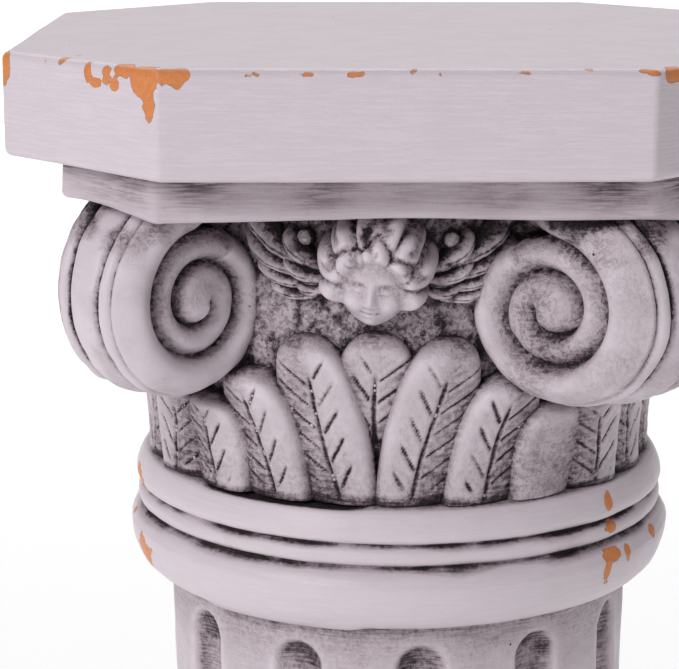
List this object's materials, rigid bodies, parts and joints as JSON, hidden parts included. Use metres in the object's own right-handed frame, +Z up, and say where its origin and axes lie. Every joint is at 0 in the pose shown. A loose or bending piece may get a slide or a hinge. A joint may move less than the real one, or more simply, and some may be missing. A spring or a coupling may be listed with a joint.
{
  "type": "pedestal plant stand",
  "caption": "Column-shaped plant stand with a cut-cornered top slab, scrolled leaf capital with winged heads, fluted shaft and square plinth.",
  "frame": {"origin": "middle of the plinth's underside, on the floor", "axes": "+Z up along the column, the front with a head under the slab faces -Y"},
  "size_m": [0.3, 0.3, 0.66],
  "materials": {
    "antiqued_paint": "off-white paint with a lilac grey cast over a terracotta-coloured casting, dark wash in the recesses, satin"
  },
  "bodies": {
    "root": {"top_slab": "antiqued_paint", "capital": "antiqued_paint", "column": "antiqued_paint"}
  },
  "joints": []
}
